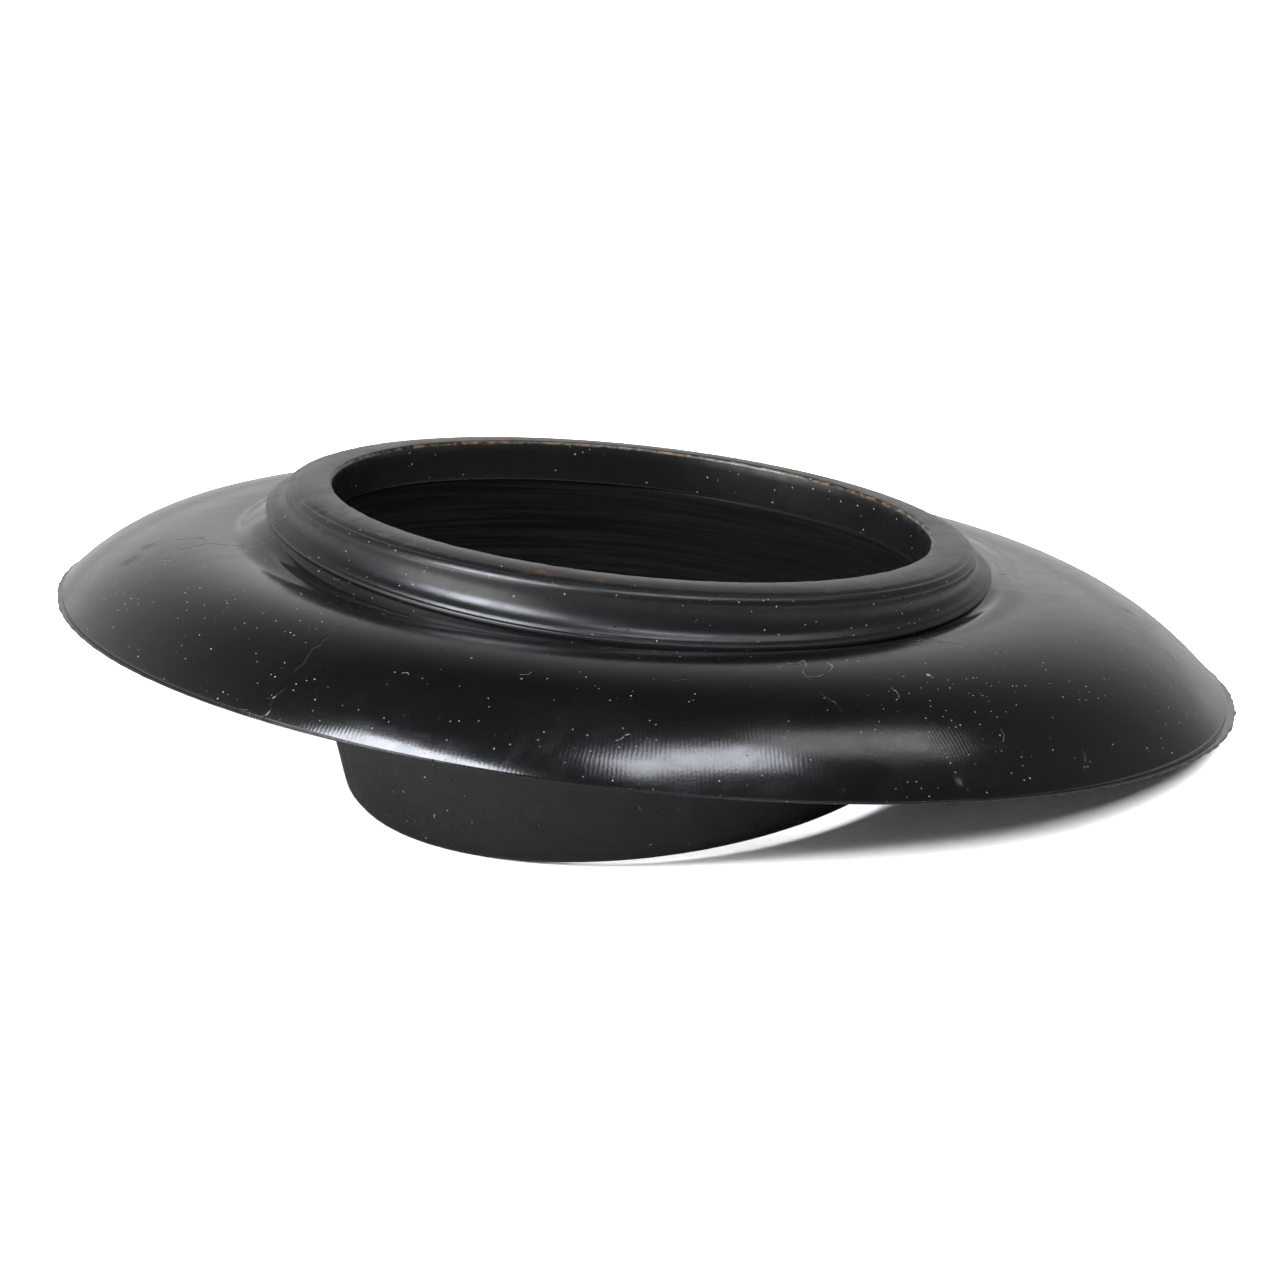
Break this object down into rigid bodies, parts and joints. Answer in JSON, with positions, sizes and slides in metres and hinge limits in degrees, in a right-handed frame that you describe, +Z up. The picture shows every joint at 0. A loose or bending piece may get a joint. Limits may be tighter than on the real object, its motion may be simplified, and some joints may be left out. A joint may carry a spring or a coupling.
{
  "type": "pump plunger head",
  "caption": "Round black rubber head for a pump plunger: saucer-shaped bell, raised neck ring round a wide bore, and a leaning open outlet sleeve below.",
  "frame": {"origin": "centre of the footprint, on the ground that the head lies on with its sleeve's low edge and one side of its rim", "axes": "+Z up; +Y across the head, level; +X towards the low side of the rim, opposite the side where the sleeve touches the ground"},
  "size_m": [0.1466, 0.1494, 0.0412],
  "materials": {
    "neck_rubber": "black moulded rubber, satin, with a trimmed lip",
    "bell_rubber": "black moulded rubber, polished by its mould, dusty",
    "sleeve_rubber": "black moulded rubber, matt, with fine turned lines"
  },
  "bodies": {
    "neck": {"neck_ring": "neck_rubber"},
    "bell": {"bell": "bell_rubber"},
    "sleeve": {"sleeve": "sleeve_rubber"}
  },
  "joints": [
    {"name": "bell_press", "type": "slide", "parent": "neck", "child": "bell", "axis": [0.1964, 0, 0.9805], "range_m": [0, 0.008], "stiffness_N_per_m": 3000},
    {"name": "sleeve_flex", "type": "hinge", "parent": "neck", "child": "sleeve", "pos_m": [-0.00304, 0, 0.02341], "axis": [0, 1, 0], "range_deg": [-4, 4], "stiffness_Nm_per_rad": 2}
  ]
}
